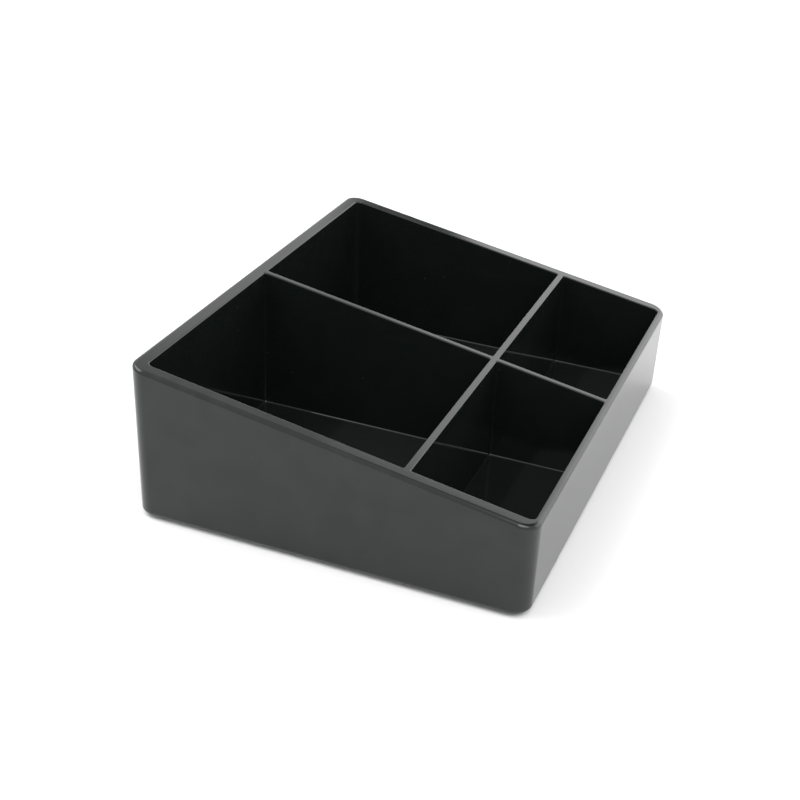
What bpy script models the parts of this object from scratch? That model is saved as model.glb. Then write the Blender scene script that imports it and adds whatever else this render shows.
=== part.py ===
"""A small open organiser tray with four compartments and a sloping rim, in metres.

+Z is up, +Y points to the high back wall, and the origin is on the ground under the middle of the
tray. The tray is one moulding: floor, walls and both dividers. Four soft feet sit in recesses
underneath it.
"""

import math

import bmesh
import bpy
from mathutils import Matrix

# Overall size, over the rim.
WIDTH = 0.1800
DEPTH = 0.1390
BACK_HEIGHT = 0.0575
FRONT_HEIGHT = 0.0341

# Thicknesses, at the rim. The low front wall is as thin as the dividers.
SIDE_WALL = 0.0052
BACK_WALL = 0.0050
FRONT_WALL = 0.0022
LONG_DIVIDER = 0.0022
CROSS_DIVIDER = 0.0023
FLOOR = 0.0025

# The cross divider's centre plane. The long divider is on the tray's centre plane.
CROSS_DIVIDER_Y = -0.0260

# Draft: the upright faces lean, so that the moulding leaves its mould.
SIDE_LEAN = math.tan(math.radians(1.1))
END_LEAN = math.tan(math.radians(0.7))

# Each rounding's radius, and the number of flats that stand for it. A compartment's corner is larger
# where two walls meet than where a divider does.
CORNER_RADIUS, CORNER_STEPS = 0.0062, 7
RIM_RADIUS, RIM_STEPS = 0.0016, 4
BASE_RADIUS, BASE_STEPS = 0.0025, 5
POCKET_RADIUS, POCKET_STEPS = 0.0022, 5
DIVIDER_RADIUS, DIVIDER_STEPS = 0.0007, 3
FLOOR_RADIUS, FLOOR_STEPS = 0.0006, 3
LIP_RADIUS, LIP_STEPS = 0.00045, 2

# Feet.
FOOT_RADIUS, FOOT_STEPS = 0.0050, 24
FOOT_EDGE, FOOT_EDGE_STEPS = 0.0004, 3
FOOT_PROUD = 0.0008
FOOT_SEAT = 0.0008
FOOT_INSET = 0.0150
GAP = 0.0003

# How far a cutter reaches past the surface that it opens.
PAST = 0.0100

# An edge is upright when its direction's height is more than this, and two heights are the same when
# they differ by less than this.
UPRIGHT = 0.9
SAME_HEIGHT = 1e-5

# The lip is rounded where faces meet at more than this, and shading breaks at this angle.
LIP_ANGLE = math.radians(50)
SHARP_ANGLE = math.radians(40)

PLASTIC_COLOUR, PLASTIC_ROUGHNESS = (0.005, 0.005, 0.005), 0.12
RUBBER_COLOUR, RUBBER_ROUGHNESS = (0.020, 0.020, 0.020), 0.80


def material(name, colour, roughness):
    """A plain Principled material."""
    made = bpy.data.materials.new(name)
    made.use_nodes = True
    shader = made.node_tree.nodes["Principled BSDF"]
    shader.inputs["Base Color"].default_value = (*colour, 1.0)
    shader.inputs["Roughness"].default_value = roughness
    return made


def place(bm, name, collection, finish=None):
    """Turns a bmesh into a named object in a collection."""
    bmesh.ops.recalc_face_normals(bm, faces=bm.faces)
    mesh = bpy.data.meshes.new(name)
    bm.to_mesh(mesh)
    bm.free()
    placed = bpy.data.objects.new(name, mesh)
    collection.objects.link(placed)
    if finish:
        mesh.materials.append(finish)
    return placed


def leaning_block(left, right, front, back, base, front_top, back_top):
    """A block with leaning sides. front and back give a side's y at a height, and left and right
    give a side's x at a y and a height."""
    bm = bmesh.new()
    bmesh.ops.create_cube(bm, size=1.0)
    for corner in bm.verts:
        side_x = right if corner.co.x > 0 else left
        side_y, top = (back, back_top) if corner.co.y > 0 else (front, front_top)
        height = base if corner.co.z < 0 else top
        y = side_y(height)
        corner.co = (side_x(y, height), y, height)
    return bm


def upright_edges(bm):
    return [e for e in bm.edges if abs((e.verts[0].co - e.verts[1].co).normalized().z) > UPRIGHT]


def edges_at_height(bm, height):
    """The edges that lie in the level plane at this height."""
    return [e for e in bm.edges if all(abs(v.co.z - height) < SAME_HEIGHT for v in e.verts)]


def rim_edges(bm):
    """The edges that lie in the rim's sloping plane."""
    return [e for e in bm.edges if all(v.co.z > rim_height(v.co.y) - SAME_HEIGHT for v in e.verts)]


def round_edges(bm, edges, radius, steps):
    bmesh.ops.bevel(
        bm, geom=edges, offset=radius, segments=steps, profile=0.5, affect="EDGES", clamp_overlap=True
    )


def disc(radius, base, top):
    """A short upright cylinder."""
    bm = bmesh.new()
    bmesh.ops.create_cone(
        bm, cap_ends=True, segments=FOOT_STEPS, radius1=radius, radius2=radius, depth=top - base
    )
    bmesh.ops.translate(bm, verts=bm.verts, vec=(0, 0, (base + top) / 2))
    return bm


def rim_height(y):
    """The rim's sloping plane."""
    return FRONT_HEIGHT + (BACK_HEIGHT - FRONT_HEIGHT) * (y + DEPTH / 2) / DEPTH


def wall_x(y, height):
    """The right wall's outer face."""
    return WIDTH / 2 + (height - BACK_HEIGHT) * SIDE_LEAN


def back_y(height):
    """The back wall's outer face."""
    return DEPTH / 2 + (height - BACK_HEIGHT) * END_LEAN


def front_y(height):
    """The front wall's outer face."""
    return -DEPTH / 2 - (height - FRONT_HEIGHT) * END_LEAN


def divider_x(y, height):
    """The long divider's right face. The divider grows thicker downwards from the rim."""
    return LONG_DIVIDER / 2 + (rim_height(y) - height) * SIDE_LEAN


def cross_half(height):
    """Half the cross divider's thickness, which grows downwards from the rim."""
    return CROSS_DIVIDER / 2 + (rim_height(CROSS_DIVIDER_Y) - height) * END_LEAN


def tray_blank():
    """The moulding's outside, still solid."""
    bm = leaning_block(
        left=lambda y, z: -wall_x(y, z),
        right=wall_x,
        front=front_y,
        back=back_y,
        base=FOOT_PROUD,
        front_top=FRONT_HEIGHT,
        back_top=BACK_HEIGHT,
    )
    round_edges(bm, upright_edges(bm), CORNER_RADIUS, CORNER_STEPS)
    round_edges(bm, edges_at_height(bm, FOOT_PROUD), BASE_RADIUS, BASE_STEPS)
    round_edges(bm, rim_edges(bm), RIM_RADIUS, RIM_STEPS)
    return bm


def pocket(is_right, is_back):
    """The space of one compartment, reaching up past the rim."""
    sign = 1 if is_right else -1

    def at_divider(y, z):
        return sign * divider_x(y, z)

    def at_wall(y, z):
        return sign * (wall_x(y, z) - SIDE_WALL)

    if is_back:
        front, back = lambda z: CROSS_DIVIDER_Y + cross_half(z), lambda z: back_y(z) - BACK_WALL
    else:
        front, back = lambda z: front_y(z) + FRONT_WALL, lambda z: CROSS_DIVIDER_Y - cross_half(z)
    floor_height = FOOT_PROUD + FLOOR
    bm = leaning_block(
        left=at_divider if is_right else at_wall,
        right=at_wall if is_right else at_divider,
        front=front,
        back=back,
        base=floor_height,
        front_top=BACK_HEIGHT + PAST,
        back_top=BACK_HEIGHT + PAST,
    )
    outermost = max(upright_edges(bm), key=lambda e: e.verts[0].co.to_2d().length)
    at_dividers = [e for e in upright_edges(bm) if e != outermost]
    round_edges(bm, at_dividers, DIVIDER_RADIUS, DIVIDER_STEPS)
    outermost = max(upright_edges(bm), key=lambda e: e.verts[0].co.to_2d().length)
    round_edges(bm, [outermost], POCKET_RADIUS, POCKET_STEPS)
    round_edges(bm, edges_at_height(bm, floor_height), FLOOR_RADIUS, FLOOR_STEPS)
    return bm


def foot():
    """A soft round foot with a rounded lower edge."""
    bm = disc(FOOT_RADIUS, 0.0, FOOT_PROUD + FOOT_SEAT - GAP)
    round_edges(bm, edges_at_height(bm, 0.0), FOOT_EDGE, FOOT_EDGE_STEPS)
    return bm


def foot_seat():
    """The recess in the underside that a foot sits in, reaching down past the ground."""
    return disc(FOOT_RADIUS + GAP, -PAST, FOOT_PROUD + FOOT_SEAT)


def cut(target, cutter):
    """Takes the cutter out of the target."""
    cutter.hide_render = True
    cutter.display_type = "WIRE"
    boolean = target.modifiers.new("cut " + cutter.name, "BOOLEAN")
    boolean.operation = "DIFFERENCE"
    boolean.solver = "EXACT"
    boolean.object = cutter


def main():
    for startup in list(bpy.data.objects):
        bpy.data.objects.remove(startup, do_unlink=True)
    parts = bpy.data.collections.new("organiser_tray")
    cutters = bpy.data.collections.new("cutters")
    for collection in (parts, cutters):
        bpy.context.scene.collection.children.link(collection)

    black = material("black_plastic", PLASTIC_COLOUR, PLASTIC_ROUGHNESS)
    rubber = material("foot_rubber", RUBBER_COLOUR, RUBBER_ROUGHNESS)

    tray = place(tray_blank(), "tray", parts, black)
    for is_back, row in ((False, "front"), (True, "back")):
        for is_right, column in ((False, "left"), (True, "right")):
            spot = f"{row}_{column}"
            cut(tray, place(pocket(is_right, is_back), "pocket_" + spot, cutters))

            x = (WIDTH / 2 - FOOT_INSET) * (1 if is_right else -1)
            y = (DEPTH / 2 - FOOT_INSET) * (1 if is_back else -1)
            seat = place(foot_seat(), "seat_" + spot, cutters)
            seat.matrix_world = Matrix.Translation((x, y, 0))
            cut(tray, seat)
            placed_foot = place(foot(), "foot_" + spot, parts, rubber)
            placed_foot.matrix_world = Matrix.Translation((x, y, 0))

    lip = tray.modifiers.new("lip", "BEVEL")
    lip.limit_method = "ANGLE"
    lip.angle_limit = LIP_ANGLE
    lip.width = LIP_RADIUS
    lip.segments = LIP_STEPS
    for finished in parts.objects:
        finished.data.shade_smooth()
        finished.data.set_sharp_from_angle(angle=SHARP_ANGLE)


main()
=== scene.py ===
import math

import bmesh
import bpy
from mathutils import Matrix, Vector


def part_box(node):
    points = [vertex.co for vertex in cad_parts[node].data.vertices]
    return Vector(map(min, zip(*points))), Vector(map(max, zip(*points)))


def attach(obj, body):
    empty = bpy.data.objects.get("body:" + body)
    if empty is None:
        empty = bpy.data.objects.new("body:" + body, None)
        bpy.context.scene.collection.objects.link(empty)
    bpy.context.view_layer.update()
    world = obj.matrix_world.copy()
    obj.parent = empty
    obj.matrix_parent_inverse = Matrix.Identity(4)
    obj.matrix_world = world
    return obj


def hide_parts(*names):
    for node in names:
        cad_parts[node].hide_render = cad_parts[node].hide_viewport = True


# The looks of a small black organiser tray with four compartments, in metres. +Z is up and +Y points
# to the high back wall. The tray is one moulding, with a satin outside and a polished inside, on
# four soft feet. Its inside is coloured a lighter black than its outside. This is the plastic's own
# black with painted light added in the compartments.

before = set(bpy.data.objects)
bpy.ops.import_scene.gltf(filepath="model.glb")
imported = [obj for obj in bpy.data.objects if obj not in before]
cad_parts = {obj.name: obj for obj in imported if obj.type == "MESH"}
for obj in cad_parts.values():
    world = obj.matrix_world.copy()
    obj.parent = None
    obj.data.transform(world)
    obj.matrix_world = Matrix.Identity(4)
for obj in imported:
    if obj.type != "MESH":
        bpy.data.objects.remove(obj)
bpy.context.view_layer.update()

# The tray's overall size comes from the frame. Its rounded rim and corners end this far inside the
# sharp edges that they are made from.
TRAY_LOW, TRAY_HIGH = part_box("tray")
ROUNDED_OFF_SIDE, ROUNDED_OFF_END, ROUNDED_OFF_TOP = 0.00004, 0.00001, 0.00024
WIDTH = TRAY_HIGH.x - TRAY_LOW.x + 2 * ROUNDED_OFF_SIDE
DEPTH = TRAY_HIGH.y - TRAY_LOW.y + 2 * ROUNDED_OFF_END
BASE = TRAY_LOW.z
BACK_HEIGHT = TRAY_HIGH.z + ROUNDED_OFF_TOP

# The rest repeats the CAD's dimensions: thicknesses and heights at the rim, and the draft, by which
# the upright faces lean.
FRONT_HEIGHT = 0.0341
SIDE_WALL = 0.0052
BACK_WALL = 0.0050
FRONT_WALL = 0.0022
LONG_DIVIDER = 0.0022
CROSS_DIVIDER = 0.0023
FLOOR = 0.0025
CROSS_DIVIDER_Y = -0.0260
SIDE_LEAN = math.tan(math.radians(1.1))
END_LEAN = math.tan(math.radians(0.7))

# Each rounding's radius, and how many steps it is drawn with. A compartment's corner is larger where
# two walls meet than where a divider does. The lip, where a compartment's walls meet the rim, is a
# little rounder than the CAD's 0.45 mm.
CORNER_RADIUS, CORNER_STEPS = 0.0062, 18
RIM_RADIUS, RIM_STEPS = 0.0016, 10
BASE_RADIUS, BASE_STEPS = 0.0025, 10
POCKET_RADIUS, POCKET_STEPS = 0.0022, 12
DIVIDER_RADIUS, DIVIDER_STEPS = 0.0007, 6
FLOOR_RADIUS, FLOOR_STEPS = 0.0006, 6
LIP_RADIUS, LIP_STEPS = 0.00055, 6

# The lip is rounded where the tray's faces meet at more than this, and the tray's shading breaks
# there too. A foot's shading breaks at its own angle.
LIP_ANGLE = math.radians(50)
FOOT_SHARP_ANGLE = math.radians(35)

# Each foot sits in a round seat in the tray's underside, and has a shallow hollow in its sole.
SEAT_GAP = 0.0003
FOOT_STEPS = 64
FOOT_EDGE, FOOT_EDGE_STEPS = 0.0004, 5
FOOT_HOLLOW_RADIUS, FOOT_HOLLOW_DEPTH = 0.0032, 0.0002

# How far a cutter reaches past the surface that it opens.
PAST = 0.0100

# An edge is upright when its direction's height is more than this, and two heights are the same when
# they differ by less than this.
UPRIGHT = 0.9
SAME_HEIGHT = 1e-5


# ---- Materials ----

# The texture noises mostly stay between these two values. Their scales are in cycles per metre.
NOISE_LOW, NOISE_HIGH = 0.3, 0.7
CLOUD_SCALE, MOTTLE_SCALE, GRAIN_SCALE = 45, 90, 700
RUBBER_WEAR_SCALE, RUBBER_GRAIN_SCALE = 300, 2500
PLASTIC_GRAIN_DEPTH, RUBBER_GRAIN_DEPTH = 0.00002, 0.00005

# A speck of dust is full up to this share of its size, and fades out from there.
SPECK_SPACING, SPECK_SIZE, SPECK_CORE = 0.0060, 0.00022, 0.4
SPECK_SHARE = 0.30
SPECK_COLOUR, SPECK_ROUGHENS = (0.060, 0.060, 0.058, 1), 0.5

PLASTIC_IOR = 1.5
RUBBER_DARK, RUBBER_LIGHT = (0.014, 0.014, 0.014, 1), (0.030, 0.030, 0.029, 1)
RUBBER_SMOOTHEST, RUBBER_ROUGHEST = 0.70, 0.90
RUBBER_GRAIN = 0.5
PAPER_COLOUR = (0.77, 0.77, 0.77, 1)


class Nodes:
    """Adds and links shader nodes in a node tree."""

    def __init__(self, tree):
        self.tree = tree

    def add(self, kind, inputs=None, **settings):
        """A new node with these settings and inputs."""
        node = self.tree.nodes.new(kind)
        for name, value in settings.items():
            setattr(node, name, value)
        for name, value in (inputs or {}).items():
            self.feed(value, node.inputs[name])
        return node

    def feed(self, value, socket):
        """Links a socket to another one, or sets its value."""
        if isinstance(value, bpy.types.NodeSocket):
            self.tree.links.new(value, socket)
        else:
            socket.default_value = value

    def math(self, operation, *values):
        """The result of a mathematical operation on these values."""
        node = self.add("ShaderNodeMath", operation=operation)
        for index, value in enumerate(values):
            self.feed(value, node.inputs[index])
        return node.outputs[0]

    def ramp(self, value, start, end, low=0.0, high=1.0):
        """Goes smoothly from low at start to high at end."""
        node = self.add("ShaderNodeMapRange", interpolation_type="SMOOTHSTEP")
        for name, given in (
            ("Value", value),
            ("From Min", start),
            ("From Max", end),
            ("To Min", low),
            ("To Max", high),
        ):
            self.feed(given, node.inputs[name])
        return node.outputs["Result"]

    def noise(self, position, scale, detail):
        """A smooth noise around one half."""
        node = self.add("ShaderNodeTexNoise", {"Vector": position, "Scale": scale, "Detail": detail})
        return node.outputs["Fac"]

    def mix(self, share, first, second):
        """A colour that goes from the first to the second as the share goes from 0 to 1."""
        node = self.add("ShaderNodeMix", {"Factor": share}, data_type="RGBA")
        self.feed(first, node.inputs["A"])
        self.feed(second, node.inputs["B"])
        return node.outputs["Result"]


def new_material(name):
    """A material, with its nodes, its shader and the object's own coordinates."""
    made = bpy.data.materials.new(name)
    made.use_nodes = True
    nodes = Nodes(made.node_tree)
    shader = made.node_tree.nodes["Principled BSDF"]
    position = nodes.add("ShaderNodeTexCoord").outputs["Object"]
    return made, nodes, shader, position


def dust(nodes, position):
    """A mask of tiny round specks. There is a place for one in each cube of about the spacing, and a
    share of the places have one."""
    cells = nodes.add("ShaderNodeTexVoronoi", {"Vector": position, "Scale": 1 / SPECK_SPACING})
    chance = nodes.add("ShaderNodeTexWhiteNoise", {"Vector": cells.outputs["Position"]})
    edge = SPECK_SIZE / SPECK_SPACING
    speck = nodes.ramp(cells.outputs["Distance"], edge, SPECK_CORE * edge)
    kept = nodes.math("LESS_THAN", chance.outputs["Value"], SPECK_SHARE)
    return nodes.math("MULTIPLY", speck, kept)


def black_plastic(name, colour, mottling, roughness, unevenness, peel):
    """Black moulded plastic, slightly mottled, with a little uneven gloss, faint orange peel and a
    few specks of dust."""
    made, nodes, shader, position = new_material(name)
    specks = dust(nodes, position)
    cloud = nodes.noise(position, CLOUD_SCALE, detail=3)
    grain = nodes.noise(position, GRAIN_SCALE, detail=2)

    mottle = nodes.ramp(nodes.noise(position, MOTTLE_SCALE, detail=4), NOISE_LOW, NOISE_HIGH)
    darker = (*((1 - mottling) * c for c in colour), 1)
    lighter = (*((1 + mottling) * c for c in colour), 1)
    tint = nodes.mix(specks, nodes.mix(mottle, darker, lighter), SPECK_COLOUR)
    nodes.feed(tint, shader.inputs["Base Color"])

    gloss = nodes.ramp(cloud, NOISE_LOW, NOISE_HIGH, roughness - unevenness, roughness + unevenness)
    dusty = nodes.math("ADD", gloss, nodes.math("MULTIPLY", specks, SPECK_ROUGHENS))
    nodes.feed(dusty, shader.inputs["Roughness"])
    shader.inputs["IOR"].default_value = PLASTIC_IOR

    bump = nodes.add(
        "ShaderNodeBump", {"Height": grain, "Strength": peel, "Distance": PLASTIC_GRAIN_DEPTH}
    )
    nodes.feed(bump.outputs["Normal"], shader.inputs["Normal"])
    return made


def foot_rubber():
    """Matt black rubber with a fine grain."""
    made, nodes, shader, position = new_material("foot_rubber")
    grain = nodes.noise(position, RUBBER_GRAIN_SCALE, detail=4)
    wear = nodes.noise(position, RUBBER_WEAR_SCALE, detail=3)
    nodes.feed(nodes.mix(wear, RUBBER_DARK, RUBBER_LIGHT), shader.inputs["Base Color"])
    matt = nodes.ramp(grain, NOISE_LOW, NOISE_HIGH, RUBBER_SMOOTHEST, RUBBER_ROUGHEST)
    nodes.feed(matt, shader.inputs["Roughness"])
    bump = nodes.add(
        "ShaderNodeBump", {"Height": grain, "Strength": RUBBER_GRAIN, "Distance": RUBBER_GRAIN_DEPTH}
    )
    nodes.feed(bump.outputs["Normal"], shader.inputs["Normal"])
    return made


def floor_paper():
    """The pale, matt ground of the studio."""
    made, _, shader, _ = new_material("floor_paper")
    shader.inputs["Base Color"].default_value = PAPER_COLOUR
    shader.inputs["Roughness"].default_value = 1.0
    shader.inputs["Specular IOR Level"].default_value = 0.0
    return made


# ---- Shapes ----


def place(bm, name, finish):
    """Turns a bmesh into a named object in the scene."""
    bmesh.ops.recalc_face_normals(bm, faces=bm.faces)
    mesh = bpy.data.meshes.new(name)
    bm.to_mesh(mesh)
    bm.free()
    mesh.materials.append(finish)
    placed = bpy.data.objects.new(name, mesh)
    bpy.context.scene.collection.objects.link(placed)
    return placed


def leaning_block(left, right, front, back, base, front_top, back_top):
    """A block with leaning sides. front and back give a side's y at a height, and left and right
    give a side's x at a y and a height."""
    bm = bmesh.new()
    bmesh.ops.create_cube(bm, size=1.0)
    for corner in bm.verts:
        side_x = right if corner.co.x > 0 else left
        side_y, top = (back, back_top) if corner.co.y > 0 else (front, front_top)
        height = base if corner.co.z < 0 else top
        y = side_y(height)
        corner.co = (side_x(y, height), y, height)
    return bm


def upright_edges(bm):
    """The edges that stand upright, or nearly so."""
    return [e for e in bm.edges if abs((e.verts[0].co - e.verts[1].co).normalized().z) > UPRIGHT]


def outermost_edge(bm):
    """The upright edge that is farthest from the tray's middle."""
    return max(upright_edges(bm), key=lambda e: e.verts[0].co.to_2d().length)


def edges_at_height(bm, height):
    """The edges that lie in the level plane at this height."""
    return [e for e in bm.edges if all(abs(v.co.z - height) < SAME_HEIGHT for v in e.verts)]


def rim_edges(bm):
    """The edges that lie in the rim's sloping plane."""
    return [e for e in bm.edges if all(v.co.z > rim_height(v.co.y) - SAME_HEIGHT for v in e.verts)]


def round_edges(bm, edges, radius, steps):
    bmesh.ops.bevel(
        bm,
        geom=edges,
        offset=radius,
        segments=steps,
        profile=0.5,
        affect="EDGES",
        clamp_overlap=True,
    )


def rim_height(y):
    """The rim's sloping plane."""
    return FRONT_HEIGHT + (BACK_HEIGHT - FRONT_HEIGHT) * (y + DEPTH / 2) / DEPTH


def wall_x(y, height):
    """The right wall's outer face."""
    return WIDTH / 2 + (height - BACK_HEIGHT) * SIDE_LEAN


def back_y(height):
    """The back wall's outer face."""
    return DEPTH / 2 + (height - BACK_HEIGHT) * END_LEAN


def front_y(height):
    """The front wall's outer face."""
    return -DEPTH / 2 - (height - FRONT_HEIGHT) * END_LEAN


def divider_x(y, height):
    """The long divider's right face. The divider grows thicker downwards from the rim."""
    return LONG_DIVIDER / 2 + (rim_height(y) - height) * SIDE_LEAN


def cross_half(height):
    """Half the cross divider's thickness, which grows downwards from the rim."""
    return CROSS_DIVIDER / 2 + (rim_height(CROSS_DIVIDER_Y) - height) * END_LEAN


def tray_blank():
    """The moulding's outside, still solid."""
    bm = leaning_block(
        left=lambda y, z: -wall_x(y, z),
        right=wall_x,
        front=front_y,
        back=back_y,
        base=BASE,
        front_top=FRONT_HEIGHT,
        back_top=BACK_HEIGHT,
    )
    round_edges(bm, upright_edges(bm), CORNER_RADIUS, CORNER_STEPS)
    round_edges(bm, edges_at_height(bm, BASE), BASE_RADIUS, BASE_STEPS)
    round_edges(bm, rim_edges(bm), RIM_RADIUS, RIM_STEPS)
    return bm


def pocket(is_right, is_back):
    """The space of one compartment, reaching up past the rim."""
    sign = 1 if is_right else -1

    def at_divider(y, z):
        return sign * divider_x(y, z)

    def at_wall(y, z):
        return sign * (wall_x(y, z) - SIDE_WALL)

    if is_back:
        front, back = lambda z: CROSS_DIVIDER_Y + cross_half(z), lambda z: back_y(z) - BACK_WALL
    else:
        front, back = lambda z: front_y(z) + FRONT_WALL, lambda z: CROSS_DIVIDER_Y - cross_half(z)
    bm = leaning_block(
        left=at_divider if is_right else at_wall,
        right=at_wall if is_right else at_divider,
        front=front,
        back=back,
        base=BASE + FLOOR,
        front_top=BACK_HEIGHT + PAST,
        back_top=BACK_HEIGHT + PAST,
    )
    outermost = outermost_edge(bm)
    at_dividers = [e for e in upright_edges(bm) if e != outermost]
    round_edges(bm, at_dividers, DIVIDER_RADIUS, DIVIDER_STEPS)
    round_edges(bm, [outermost_edge(bm)], POCKET_RADIUS, POCKET_STEPS)
    round_edges(bm, edges_at_height(bm, BASE + FLOOR), FLOOR_RADIUS, FLOOR_STEPS)
    return bm


def disc(radius, base, height):
    """A short upright cylinder."""
    bm = bmesh.new()
    bmesh.ops.create_cone(
        bm, cap_ends=True, segments=FOOT_STEPS, radius1=radius, radius2=radius, depth=height
    )
    bmesh.ops.translate(bm, verts=bm.verts, vec=(0, 0, base + height / 2))
    return bm


def bake_modifiers(piece):
    """Gives a piece its evaluated mesh, and takes its modifiers off."""
    bpy.context.view_layer.update()
    evaluated = piece.evaluated_get(bpy.context.evaluated_depsgraph_get())
    mesh = bpy.data.meshes.new_from_object(evaluated)
    piece.modifiers.clear()
    piece.data = mesh


def cut(target, cutter):
    """Takes the cutter out of the target, and leaves the cutter's material on the cut."""
    boolean = target.modifiers.new("cut " + cutter.name, "BOOLEAN")
    boolean.operation = "DIFFERENCE"
    boolean.solver = "EXACT"
    boolean.material_mode = "TRANSFER"
    boolean.object = cutter


def make_foot(name, finish):
    """A soft round foot in the CAD foot's place, with a rounded edge and a hollow in its sole."""
    low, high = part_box(name)
    radius = (high.x - low.x) / 2
    centre = (low + high) / 2
    bm = disc(radius, low.z, high.z - low.z)
    round_edges(bm, edges_at_height(bm, low.z), FOOT_EDGE, FOOT_EDGE_STEPS)
    sole = [f for f in bm.faces if all(abs(v.co.z - low.z) < SAME_HEIGHT for v in f.verts)]
    bmesh.ops.inset_region(bm, faces=sole, thickness=radius - FOOT_EDGE - FOOT_HOLLOW_RADIUS)
    sole = [f for f in bm.faces if f.normal.z < -UPRIGHT and len(f.verts) == FOOT_STEPS]
    bmesh.ops.inset_region(bm, faces=sole, thickness=FOOT_HOLLOW_DEPTH)
    bmesh.ops.translate(bm, verts=sole[0].verts, vec=(0, 0, FOOT_HOLLOW_DEPTH))
    foot = place(bm, name + "_pad", finish)
    foot.location = (centre.x, centre.y, 0)
    foot.data.shade_smooth()
    foot.data.set_sharp_from_angle(angle=FOOT_SHARP_ANGLE)
    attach(foot, "root")
    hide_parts(name)


def make_tray(outside, inside, foot_names):
    """The whole moulding: the blank with its compartments and foot seats cut out, and its lips."""
    tray = place(tray_blank(), "tray_moulding", outside)
    cutters = [
        place(pocket(is_right, is_back), f"pocket_{is_right}_{is_back}", inside)
        for is_right in (False, True)
        for is_back in (False, True)
    ]
    for name in foot_names:
        low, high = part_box(name)
        radius = (high.x - low.x) / 2 + SEAT_GAP
        seat = place(disc(radius, -PAST, PAST + high.z + SEAT_GAP), "seat_" + name, outside)
        seat.location = ((low.x + high.x) / 2, (low.y + high.y) / 2, 0)
        cutters.append(seat)
    for cutter in cutters:
        cut(tray, cutter)

    lip = tray.modifiers.new("lip", "BEVEL")
    lip.limit_method = "ANGLE"
    lip.angle_limit = LIP_ANGLE
    lip.width = LIP_RADIUS
    lip.segments = LIP_STEPS
    bake_modifiers(tray)
    for cutter in cutters:
        bpy.data.objects.remove(cutter, do_unlink=True)

    tray.data.shade_smooth()
    tray.data.set_sharp_from_angle(angle=LIP_ANGLE)
    shading = tray.modifiers.new("flat faces stay flat", "WEIGHTED_NORMAL")
    shading.weight = 100
    shading.keep_sharp = True
    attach(tray, "root")
    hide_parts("tray")


# ---- Studio ----

STUDIO_FLOOR_SIZE = 6.0


def make_floor():
    """A level ground, far wider than the tray."""
    bm = bmesh.new()
    bmesh.ops.create_grid(bm, x_segments=1, y_segments=1, size=STUDIO_FLOOR_SIZE)
    floor = place(bm, "studio_floor", floor_paper())


class Panel:
    """A soft-edged patch of light or dark in the studio's surroundings, bounded by direction in
    degrees. Azimuth is from +X towards +Y, and height is above the horizon. Each has two edges, and
    an edge is a pair: where the patch starts to fade in, and where it is full."""

    def __init__(self, level, azimuth, height):
        self.level = level
        self.azimuth_edges = azimuth
        self.height_edges = height

    def mask(self, nodes, azimuth, height):
        """1 inside the patch and 0 outside it."""
        product = 1.0
        for value, edges in ((azimuth, self.azimuth_edges), (height, self.height_edges)):
            for outer, inner in edges:
                product = nodes.math("MULTIPLY", product, nodes.ramp(value, outer, inner))
        return product


# The studio's surroundings: an even white, with brighter and darker panels. Later panels lie on top.
AMBIENT = 1.1
PANELS = (
    Panel(0.7, azimuth=((-16, -6), (28, 20)), height=((34.4, 36.4), (80, 70))),
    Panel(0.3, azimuth=((-80, -70), (-4, -12)), height=((40, 46), (76, 68))),
    Panel(1.5, azimuth=((6, 12), (46, 36)), height=((-4, 8), (35.5, 34))),
    Panel(2.4, azimuth=((-80, -66), (8, -6)), height=((-8, 2), (36.5, 34.5))),
    Panel(2.2, azimuth=((-8, 0), (13, 9)), height=((8, 14), (36.4, 34.8))),
    Panel(2.6, azimuth=((4, 9), (34, 26)), height=((-6, 0), (20, 16))),
    Panel(0.15, azimuth=((9.2, 10.2), (15.8, 14.4)), height=((20, 22), (29, 27.4))),
    Panel(4.6, azimuth=((52, 66), (138, 126)), height=((30, 38), (74, 64))),
    Panel(5.0, azimuth=((-176, -164), (-94, -108)), height=((34, 46), (82, 74))),
)


def make_world():
    """White studio surroundings with soft panels."""
    world = bpy.data.worlds.new("studio")
    world.use_nodes = True
    bpy.context.scene.world = world
    nodes = Nodes(world.node_tree)
    vector = nodes.add("ShaderNodeTexCoord").outputs["Generated"]
    x, y, z = nodes.add("ShaderNodeSeparateXYZ", {"Vector": vector}).outputs
    azimuth = nodes.math("DEGREES", nodes.math("ARCTAN2", y, x))
    height = nodes.math("DEGREES", nodes.math("ARCSINE", z))
    level = AMBIENT
    for panel in PANELS:
        mask = panel.mask(nodes, azimuth, height)
        step = nodes.add("ShaderNodeMix", {"Factor": mask}, data_type="FLOAT")
        nodes.feed(level, step.inputs["A"])
        nodes.feed(panel.level, step.inputs["B"])
        level = step.outputs["Result"]
    background = world.node_tree.nodes["Background"]
    background.inputs["Color"].default_value = (1, 1, 1, 1)
    nodes.feed(level, background.inputs["Strength"])


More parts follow.
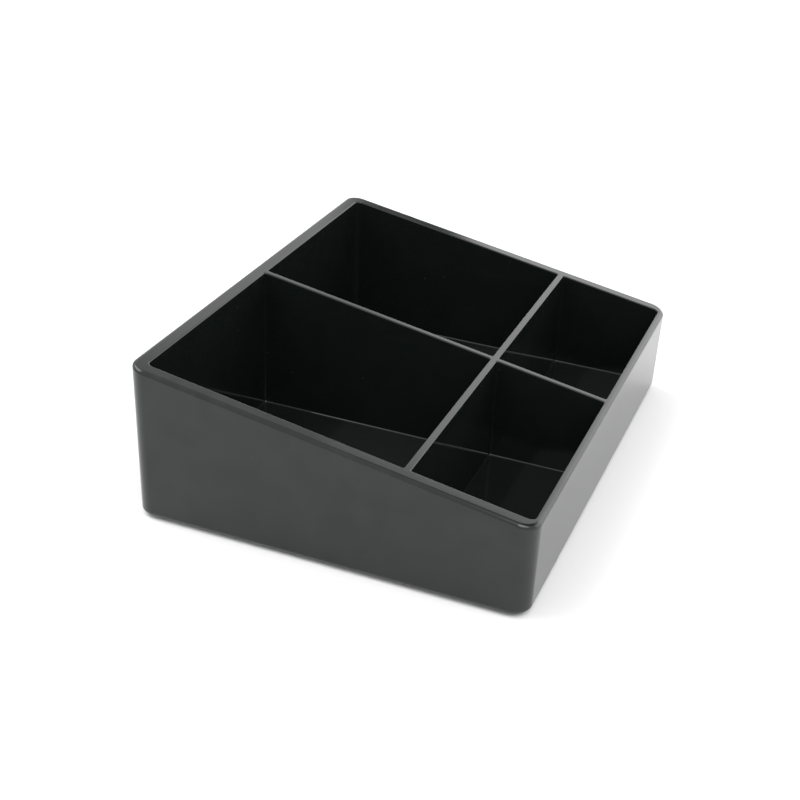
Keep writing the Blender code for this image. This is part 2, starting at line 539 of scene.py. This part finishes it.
# The camera looks across the tray from its left, from a little in front and above. Its azimuth is
# from -Y towards +X, and it is moved sideways and upwards in its own plane. Angles are in degrees,
# and the lens and the sensor's width are in millimetres.
CAMERA_AZIMUTH = -69.559
CAMERA_ELEVATION = 28.288
CAMERA_ROLL = 3.023
CAMERA_DISTANCE = 0.509296
CAMERA_SIDEWAYS = -0.009097
CAMERA_UPWARDS = -0.010992
CAMERA_TARGET_HEIGHT = 0.0308
CAMERA_LENS, CAMERA_SENSOR = 62.864, 36
CAMERA_CLIP_START = 0.01


def make_camera():
    """The camera that the scene is rendered from."""
    azimuth, elevation = math.radians(CAMERA_AZIMUTH), math.radians(CAMERA_ELEVATION)
    back = Vector(
        (
            math.sin(azimuth) * math.cos(elevation),
            -math.cos(azimuth) * math.cos(elevation),
            math.sin(elevation),
        )
    )
    level = (-back).cross(Vector((0, 0, 1))).normalized()
    right = Matrix.Rotation(math.radians(CAMERA_ROLL), 3, back) @ level
    up = back.cross(right)
    camera = bpy.data.objects.new("camera", bpy.data.cameras.new("camera"))
    bpy.context.scene.collection.objects.link(camera)
    camera.data.sensor_width = CAMERA_SENSOR
    camera.data.lens = CAMERA_LENS
    camera.data.clip_start = CAMERA_CLIP_START
    place_at = back * CAMERA_DISTANCE + right * CAMERA_SIDEWAYS + up * CAMERA_UPWARDS
    place_at.z += CAMERA_TARGET_HEIGHT
    turned = Matrix((right, up, back)).transposed().to_4x4()
    camera.matrix_world = Matrix.Translation(place_at) @ turned
    bpy.context.scene.camera = camera


FEET = ("foot_front_left", "foot_front_right", "foot_back_left", "foot_back_right")

make_camera()
make_world()
make_floor()
satin = black_plastic(
    "black_plastic_satin",
    colour=(0.0030, 0.0048, 0.0043),
    mottling=0.60,
    roughness=0.11,
    unevenness=0.015,
    peel=0.2,
)
# The inside's colour is the plastic's black made lighter than the outside's. The lift is painted
# light that stands in for light inside the compartments.
polished_painted_light = black_plastic(
    "black_plastic_polished",
    colour=(0.0056, 0.0074, 0.0068),
    mottling=0.06,
    roughness=0.07,
    unevenness=0.02,
    peel=0.1,
)
rubber = foot_rubber()
for foot_name in FEET:
    make_foot(foot_name, rubber)
make_tray(satin, polished_painted_light, FEET)

bpy.context.scene.view_settings.view_transform = "Standard"
